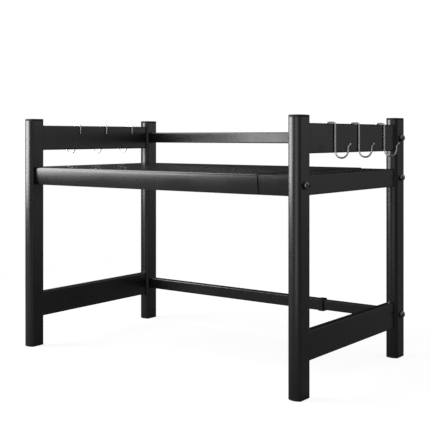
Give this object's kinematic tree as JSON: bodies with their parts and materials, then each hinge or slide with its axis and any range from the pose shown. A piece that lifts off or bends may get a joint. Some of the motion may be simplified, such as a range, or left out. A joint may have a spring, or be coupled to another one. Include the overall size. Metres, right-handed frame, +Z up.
{
  "type": "extendable microwave rack",
  "caption": "Width-adjustable black steel counter rack that bridges a microwave oven, with a telescoping shelf, side guard rails and hanging wire hooks.",
  "frame": {"origin": "on the counter, midway between the four posts, with the rack drawn out as in the picture", "axes": "+X along the width to the right, +Y to the back, +Z up"},
  "size_m": [0.676, 0.372, 0.44],
  "materials": {
    "powder_coat": "satin black powder coat on steel tube and folded sheet",
    "black_plastic": "moulded black polypropylene, satin",
    "nylon": "natural white nylon",
    "stainless_wire": "polished stainless steel wire",
    "screw_nickel": "black nickel plated steel",
    "zinc_steel": "bright zinc plated steel"
  },
  "bodies": {
    "left_frame": {"left_front_post": "powder_coat", "left_front_cap": "black_plastic", "left_front_foot": "black_plastic", "left_rear_post": "powder_coat", "left_rear_cap": "black_plastic", "left_rear_foot": "black_plastic", "left_guard_rail": "powder_coat", "left_shelf_rail": "powder_coat", "left_lower_rail": "powder_coat", "outer_tray": "powder_coat", "rear_guard_outer_tube": "powder_coat", "rear_lower_outer_tube": "powder_coat", "left_tray_brackets": "powder_coat", "left_weld_nuts": "zinc_steel", "left_tube_inserts": "zinc_steel", "left_frame_screws": "screw_nickel", "tube_mouth_collars": "black_plastic"},
    "right_frame": {"right_front_post": "powder_coat", "right_front_cap": "black_plastic", "right_front_foot": "black_plastic", "right_rear_post": "powder_coat", "right_rear_cap": "black_plastic", "right_rear_foot": "black_plastic", "right_guard_rail": "powder_coat", "right_shelf_rail": "powder_coat", "right_lower_rail": "powder_coat", "inner_tray": "powder_coat", "rear_guard_inner_tube": "powder_coat", "rear_lower_inner_tube": "powder_coat", "right_tray_brackets": "powder_coat", "right_weld_nuts": "zinc_steel", "right_tube_inserts": "zinc_steel", "right_frame_screws": "screw_nickel", "inner_tube_glides": "nylon"},
    "left_front_hook": {"left_front_hook": "stainless_wire"},
    "left_middle_hook": {"left_middle_hook": "stainless_wire"},
    "left_rear_hook": {"left_rear_hook": "stainless_wire"},
    "right_front_hook": {"right_front_hook": "stainless_wire"},
    "right_middle_hook": {"right_middle_hook": "stainless_wire"},
    "right_rear_hook": {"right_rear_hook": "stainless_wire"}
  },
  "joints": [
    {"name": "width_slide", "type": "slide", "parent": "left_frame", "child": "right_frame", "axis": [1, 0, 0], "range_m": [-0.061, 0.218]},
    {"name": "left_front_hook_slide", "type": "slide", "parent": "left_frame", "child": "left_front_hook", "axis": [0, 1, 0], "range_m": [-0.0975, 0.0365]},
    {"name": "left_middle_hook_slide", "type": "slide", "parent": "left_frame", "child": "left_middle_hook", "axis": [0, 1, 0], "range_m": [-0.0365, 0.038]},
    {"name": "left_rear_hook_slide", "type": "slide", "parent": "left_frame", "child": "left_rear_hook", "axis": [0, 1, 0], "range_m": [-0.038, 0.0445]},
    {"name": "right_front_hook_slide", "type": "slide", "parent": "right_frame", "child": "right_front_hook", "axis": [0, 1, 0], "range_m": [-0.0795, 0.03925]},
    {"name": "right_middle_hook_slide", "type": "slide", "parent": "right_frame", "child": "right_middle_hook", "axis": [0, 1, 0], "range_m": [-0.03925, 0.04575]},
    {"name": "right_rear_hook_slide", "type": "slide", "parent": "right_frame", "child": "right_rear_hook", "axis": [0, 1, 0], "range_m": [-0.04575, 0.0415]}
  ]
}
